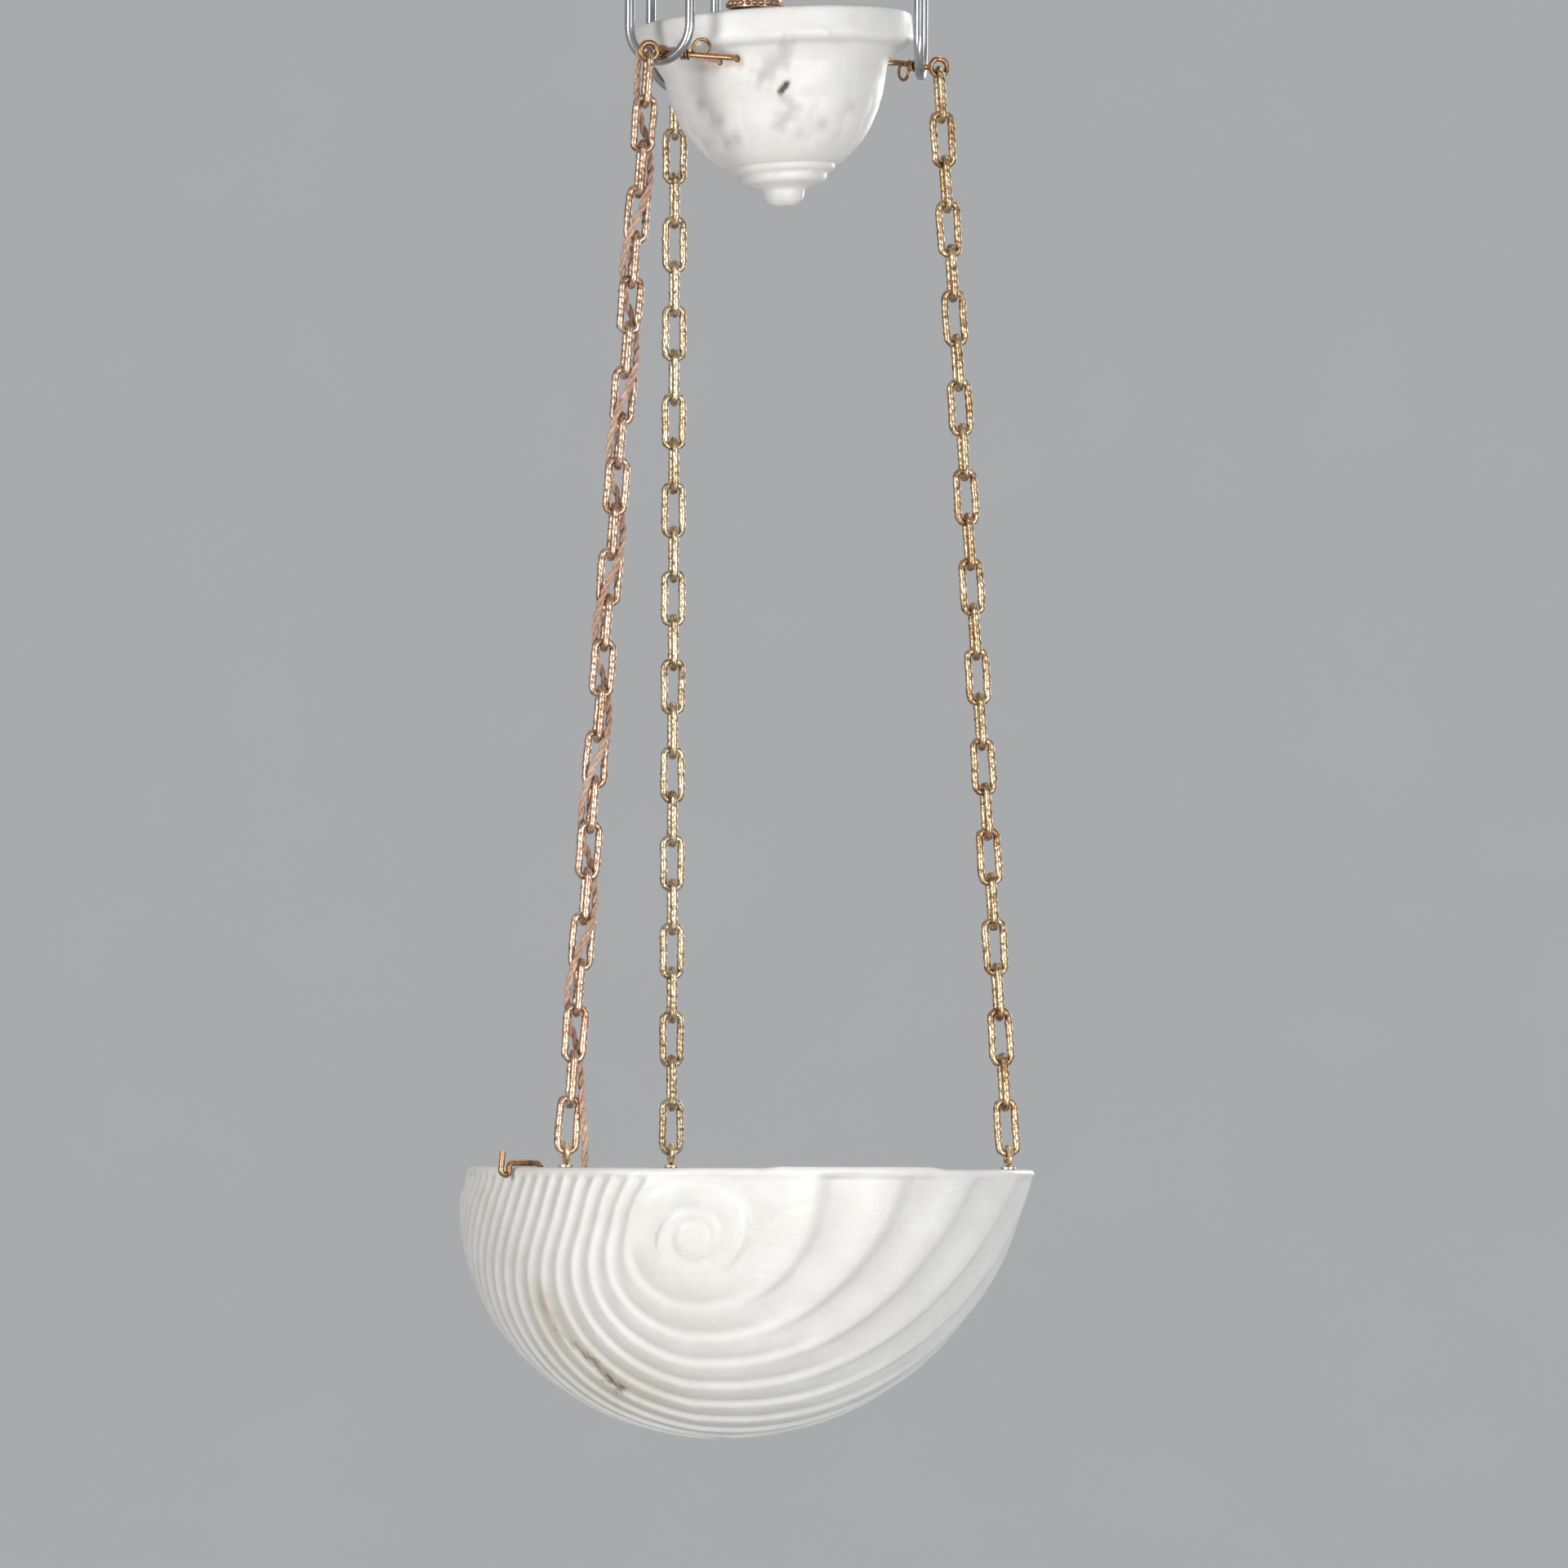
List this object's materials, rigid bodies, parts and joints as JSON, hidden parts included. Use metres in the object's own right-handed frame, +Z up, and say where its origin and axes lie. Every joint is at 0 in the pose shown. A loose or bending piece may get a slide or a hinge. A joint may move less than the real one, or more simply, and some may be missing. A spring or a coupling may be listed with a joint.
{
  "type": "pendant light",
  "caption": "Carved alabaster bowl pendant on three link chains from a small alabaster canopy, with a lampholder and bulb inside the bowl.",
  "frame": {"origin": "middle of the ceiling block's top face, which lies against the ceiling", "axes": "+X to the right and +Y away from the viewer as pictured, +Z up to the ceiling"},
  "size_m": [0.3571, 0.355, 0.9939],
  "materials": {
    "alabaster": "polished",
    "brass": "tarnished",
    "steel": "satin",
    "lead": "dull",
    "wood": "painted",
    "porcelain": "glazed",
    "flex": "braided",
    "black_plastic": "matt",
    "glass": "clear",
    "bulb_cap": "satin"
  },
  "bodies": {
    "ceiling": {"ceiling_block": "wood", "ceiling_hooks": "steel", "terminal_block": "porcelain", "terminal_screws": "brass", "stem_flange": "brass", "stem_flange_screws": "brass", "stem_tube": "brass", "hub_cup": "brass", "hub_bush": "black_plastic", "steel_loop_right": "steel", "steel_loop_rear": "steel", "steel_loop_front_left": "steel", "canopy": "alabaster", "canopy_arm_right": "brass", "canopy_arm_rear": "brass", "canopy_arm_front_left": "brass", "arm_washers": "brass", "arm_nuts": "brass", "binding_wires": "brass", "flex_canopy": "flex"},
    "top_link_right": {"top_link_right": "brass"},
    "top_link_rear": {"top_link_rear": "brass"},
    "top_link_front_left": {"top_link_front_left": "brass"},
    "chain_right": {"chain_right": "brass"},
    "chain_rear": {"chain_rear": "brass"},
    "chain_front_left": {"chain_front_left": "brass", "flex_chain": "flex"},
    "bottom_link_right": {"bottom_link_right": "brass"},
    "bowl": {"bowl": "alabaster", "rim_eyes": "brass", "eye_sleeves": "lead", "lamp_bracket": "brass", "holder_shell": "brass", "holder_core": "porcelain", "holder_liner": "brass", "holder_contact": "brass", "holder_dome": "brass", "shade_rings": "black_plastic", "flex_bowl": "flex"},
    "bulb": {"bulb_glass": "glass", "bulb_cap": "bulb_cap", "bulb_tip": "lead", "bulb_stem": "glass", "bulb_filament": "steel"}
  },
  "joints": [
    {"name": "swing_front_back", "type": "hinge", "parent": "ceiling", "child": "top_link_right", "pos_m": [0.11469, -0.00842, -0.1474], "axis": [0.9781, 0.2079, 0], "range_deg": [-6, 6]},
    {"name": "swing_side", "type": "hinge", "parent": "top_link_right", "child": "chain_right", "pos_m": [0.11661, -0.00958, -0.17566], "axis": [-0.2079, 0.9781, 0], "range_deg": [-6, 6]},
    {"name": "level_side", "type": "hinge", "parent": "chain_right", "child": "bottom_link_right", "pos_m": [0.15816, -0.03464, -0.78864], "axis": [-0.0828, 0.9966, 0], "range_deg": [-4.39, 4.39]},
    {"name": "level_front_back", "type": "hinge", "parent": "bottom_link_right", "child": "bowl", "pos_m": [0.16005, -0.03578, -0.81651], "axis": [0.998, 0.0628, 0], "range_deg": [-4.26, 4.26]},
    {"name": "rear_front_back", "type": "hinge", "parent": "ceiling", "child": "top_link_rear", "pos_m": [-0.05005, 0.10354, -0.1474], "axis": [0.9781, 0.2079, 0], "range_deg": [-6, 6]},
    {"name": "rear_side", "type": "hinge", "parent": "top_link_rear", "child": "chain_rear", "pos_m": [-0.05001, 0.10577, -0.17566], "axis": [-0.2079, 0.9781, 0], "range_deg": [-5.86, 5.86]},
    {"name": "front_left_front_back", "type": "hinge", "parent": "ceiling", "child": "top_link_front_left", "pos_m": [-0.06464, -0.09511, -0.1474], "axis": [0.9781, 0.2079, 0], "range_deg": [-6, 6]},
    {"name": "front_left_side", "type": "hinge", "parent": "top_link_front_left", "child": "chain_front_left", "pos_m": [-0.0666, -0.0962, -0.17566], "axis": [-0.2079, 0.9781, 0], "range_deg": [-5.86, 5.86]},
    {"name": "bulb_turn", "type": "hinge", "parent": "bowl", "child": "bulb", "pos_m": [0, 0, -0.90391], "axis": [0, 0, 1], "range_deg": [0, 1080]}
  ],
  "couplings": [
    {"joint": "level_side", "follows": "swing_side", "ratio": -0.7237},
    {"joint": "level_front_back", "follows": "swing_front_back", "ratio": -0.7011},
    {"joint": "rear_front_back", "follows": "swing_front_back", "ratio": 1},
    {"joint": "front_left_front_back", "follows": "swing_front_back", "ratio": 1},
    {"joint": "rear_side", "follows": "swing_side", "ratio": 0.9688},
    {"joint": "front_left_side", "follows": "swing_side", "ratio": 0.9688}
  ]
}
